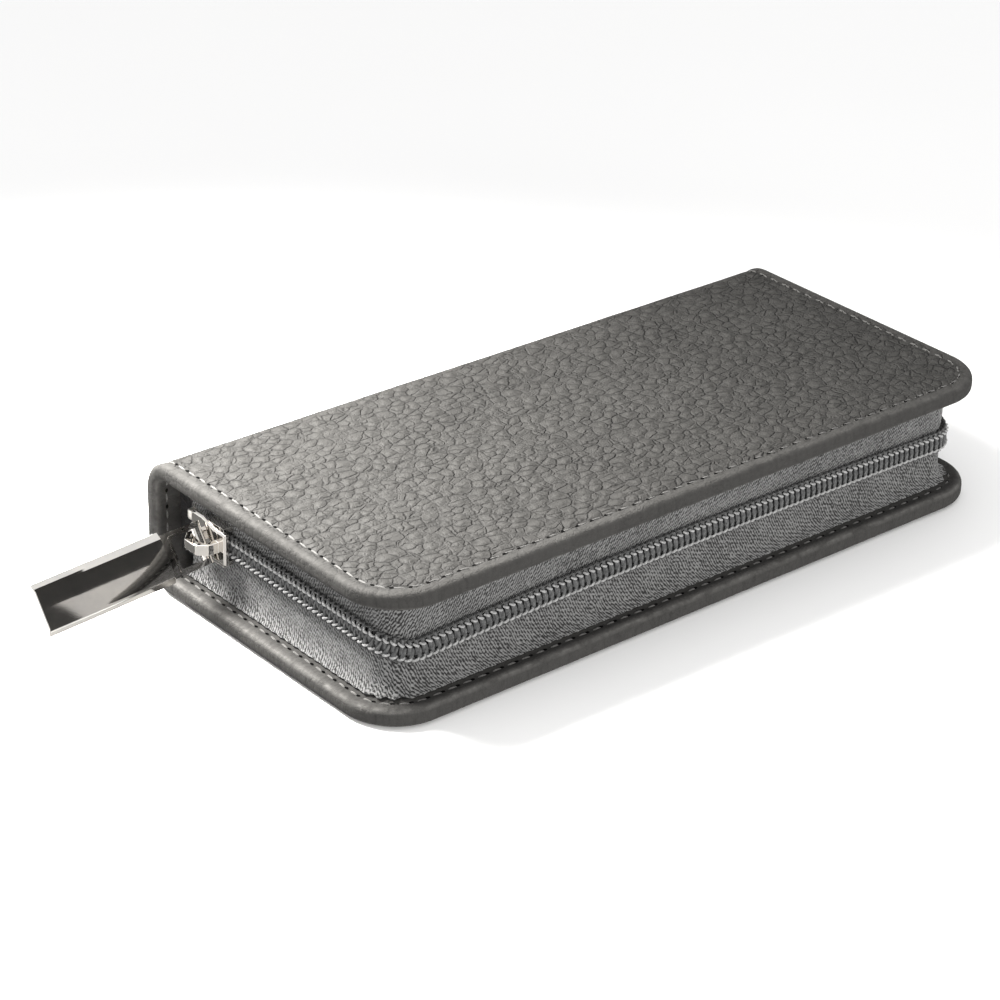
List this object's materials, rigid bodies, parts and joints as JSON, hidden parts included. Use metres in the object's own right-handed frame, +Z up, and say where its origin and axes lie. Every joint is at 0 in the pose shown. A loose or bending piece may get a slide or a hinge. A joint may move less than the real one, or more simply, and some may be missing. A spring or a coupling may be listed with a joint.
{
  "type": "zip-around glasses case",
  "caption": "Slim book-style case of grey pebbled leather that opens on a soft spine, closed round three sides by a coil zip with a flat metal pull, with two padded bays for folded glasses.",
  "frame": {"origin": "centre of the closed case's underside, where it rests on a table", "axes": "+X along the length, the zip's closed end and the pull at -X; +Y from the front edge to the spine; +Z up, through the closed case's thickness"},
  "size_m": [0.195, 0.075, 0.028],
  "materials": {
    "shell_leather": "pebbled, semi matt",
    "spine_leather": "pebbled, semi matt",
    "board_core": "raw grey board",
    "padding": "soft",
    "lining_cloth": "smooth microfibre",
    "gusset_tape": "heather woven tape",
    "coil": "nylon coil",
    "stop_metal": "polished nickel",
    "slider_metal": "polished nickel",
    "pull_metal": "polished nickel",
    "divider_pad": "padded, stitched",
    "elastic": "ribbed elastic webbing",
    "pocket_cloth": "microfibre",
    "binding_tape": "folded grosgrain",
    "wiping_cloth": "microfibre, pinked edge",
    "web_cloth": "woven"
  },
  "bodies": {
    "base": {"base_cover": "shell_leather", "base_board": "board_core", "base_foam": "padding", "base_lining": "lining_cloth", "lower_tape": "gusset_tape", "lower_coil": "coil", "bay_divider": "divider_pad", "front_keeper": "elastic", "rear_keeper": "elastic", "lower_stop_left": "stop_metal", "lower_stop_right": "stop_metal"},
    "spine": {"spine_cover": "spine_leather", "spine_board": "board_core", "spine_lining": "lining_cloth", "end_patch_left": "web_cloth", "end_patch_right": "web_cloth"},
    "lid": {"lid_cover": "shell_leather", "lid_board": "board_core", "lid_foam": "padding", "lid_lining": "lining_cloth", "upper_tape": "gusset_tape", "upper_coil": "coil", "lens_pocket": "pocket_cloth", "pocket_binding": "binding_tape", "lens_cloth": "wiping_cloth", "upper_stop_left": "stop_metal", "upper_stop_right": "stop_metal"},
    "slider": {"zip_slider": "slider_metal"},
    "pull": {"pull_tab": "pull_metal"}
  },
  "joints": [
    {"name": "spine_fold", "type": "hinge", "parent": "base", "child": "spine", "pos_m": [0, 0.03553, 0.00197], "axis": [-1, 0, 0], "range_deg": [0, 90]},
    {"name": "lid_fold", "type": "hinge", "parent": "spine", "child": "lid", "pos_m": [0, 0.03553, 0.02603], "axis": [-1, 0, 0], "range_deg": [0, 90]},
    {"name": "slider_travel", "type": "slide", "parent": "base", "child": "slider", "axis": [0, -1, 0], "range_m": [0, 0.04]},
    {"name": "pull_swing", "type": "hinge", "parent": "slider", "child": "pull", "pos_m": [-0.07875, 0.0205, 0.0156], "axis": [-0.0598, 0.515, 0.8551], "range_deg": [-60, 60]}
  ]
}
